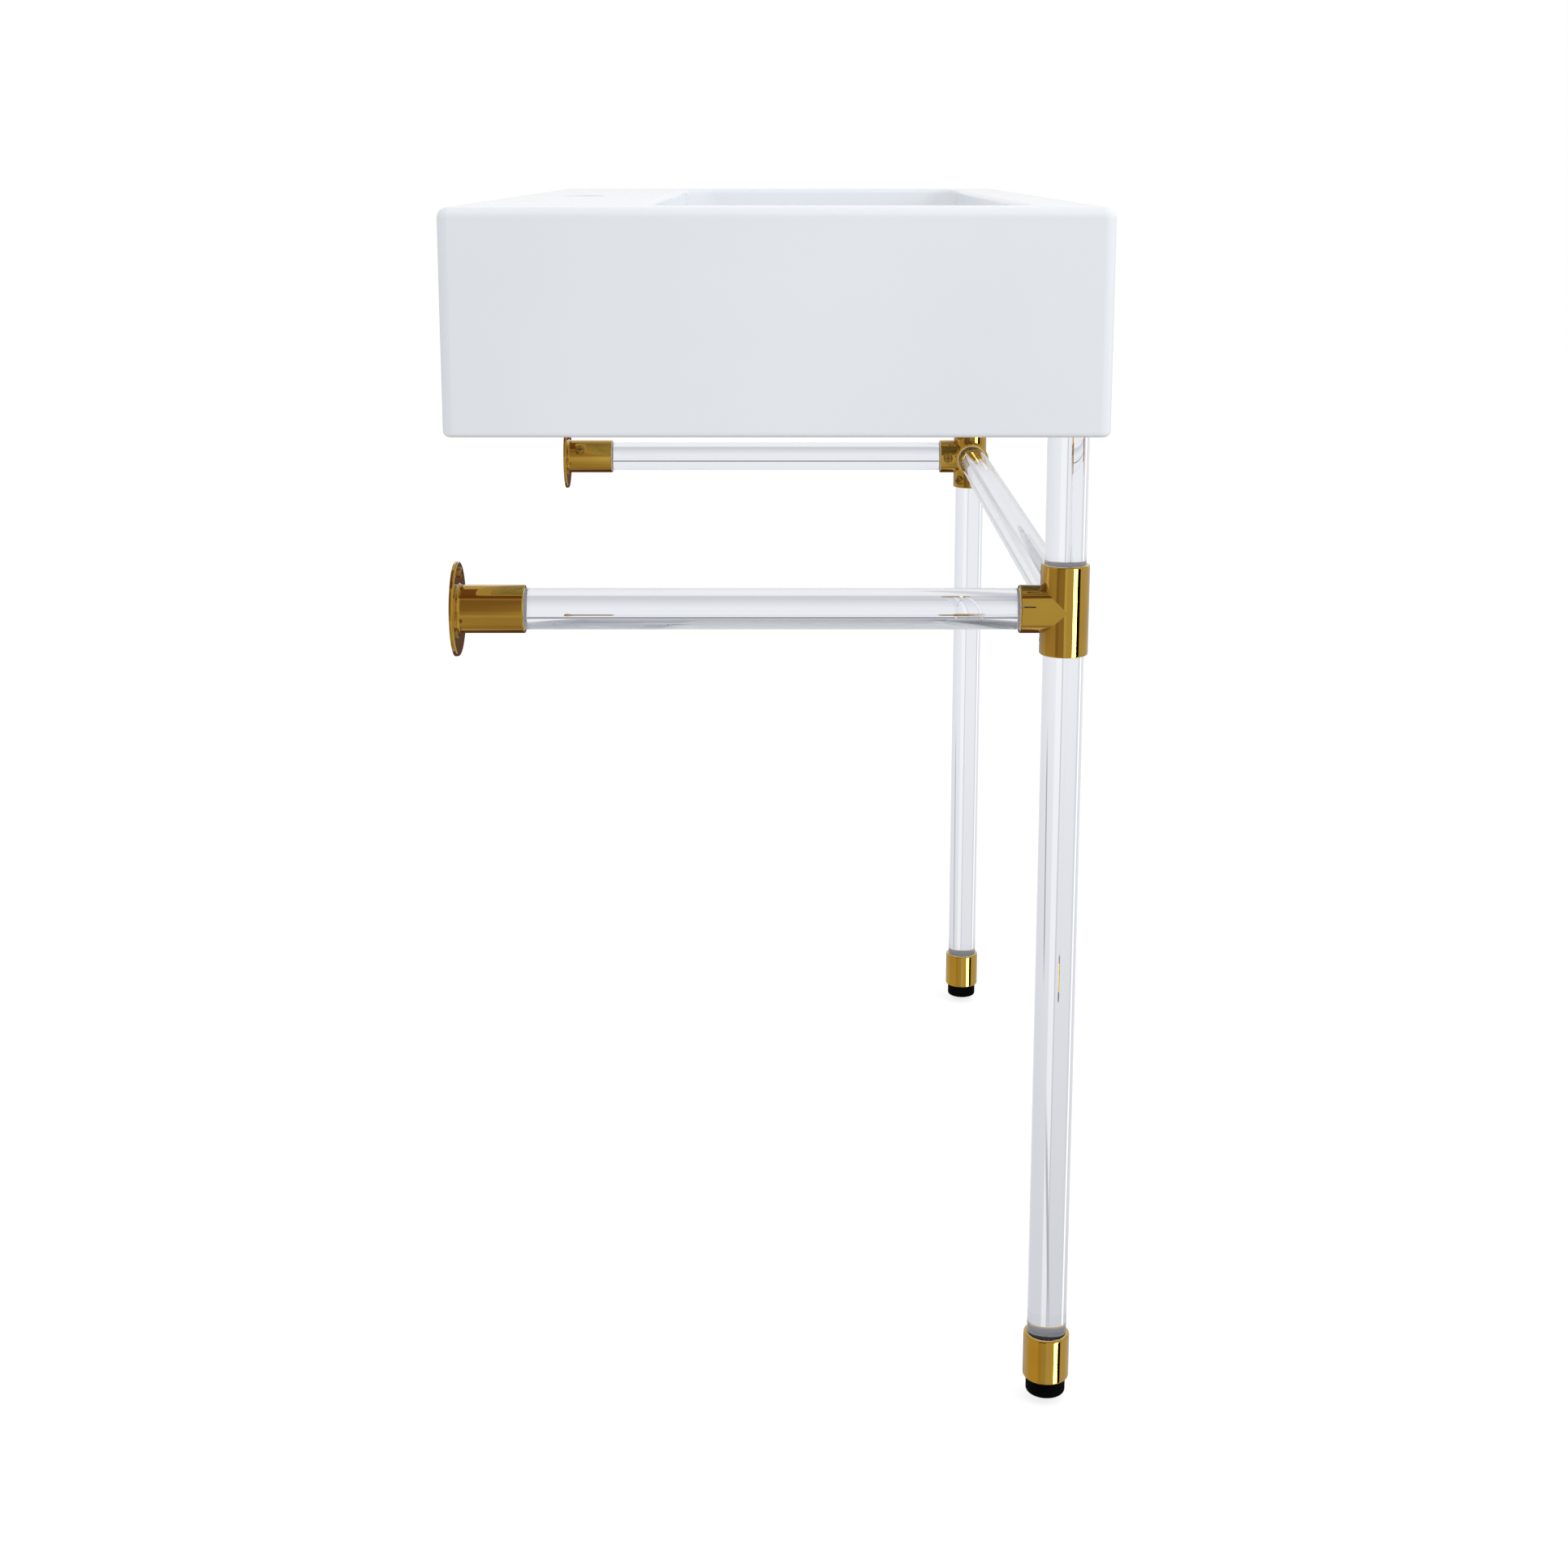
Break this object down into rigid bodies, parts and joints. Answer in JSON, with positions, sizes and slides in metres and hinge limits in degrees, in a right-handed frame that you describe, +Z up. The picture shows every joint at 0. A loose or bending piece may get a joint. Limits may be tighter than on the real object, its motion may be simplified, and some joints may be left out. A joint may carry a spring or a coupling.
{
  "type": "console washbasin",
  "caption": "Rectangular ceramic washbasin fixed to a wall and carried on front legs of clear rod with brass fittings, rails back to the wall and levelling feet.",
  "frame": {"origin": "midway between the two wall-bolt holes, on the plane of the wall, 831 mm above the floor", "axes": "+X to the right along the wall, +Y into the wall, +Z up; the front of the basin faces -Y"},
  "size_m": [0.914, 0.4635, 0.903],
  "materials": {
    "glazed_ceramic": "white gloss glaze",
    "clear_acrylic": "clear, flame polished",
    "polished_brass": "polished",
    "brass_screws": "plated",
    "black_rubber": "matt moulded",
    "pad_rubber": "matt",
    "zinc_steel": "zinc plated"
  },
  "bodies": {
    "frame": {"basin": "glazed_ceramic", "cross_rod": "clear_acrylic", "left_leg_pad": "pad_rubber", "left_upper_rod": "clear_acrylic", "left_leg_rod": "clear_acrylic", "left_side_rod": "clear_acrylic", "left_tee": "polished_brass", "left_wall_flange": "polished_brass", "left_foot_collar": "polished_brass", "left_tee_screws": "brass_screws", "left_flange_set_screw": "brass_screws", "left_wall_screws": "brass_screws", "right_leg_pad": "pad_rubber", "right_upper_rod": "clear_acrylic", "right_leg_rod": "clear_acrylic", "right_side_rod": "clear_acrylic", "right_tee": "polished_brass", "right_wall_flange": "polished_brass", "right_foot_collar": "polished_brass", "right_tee_screws": "brass_screws", "right_flange_set_screw": "brass_screws", "right_wall_screws": "brass_screws"},
    "left_foot": {"left_levelling_foot": "black_rubber", "left_foot_stud": "zinc_steel"},
    "right_foot": {"right_levelling_foot": "black_rubber", "right_foot_stud": "zinc_steel"}
  },
  "joints": [
    {"name": "left_foot_height", "type": "slide", "parent": "frame", "child": "left_foot", "axis": [0, 0, -1], "range_m": [-0.005, 0.006]},
    {"name": "right_foot_height", "type": "slide", "parent": "frame", "child": "right_foot", "axis": [0, 0, -1], "range_m": [-0.005, 0.006]}
  ]
}
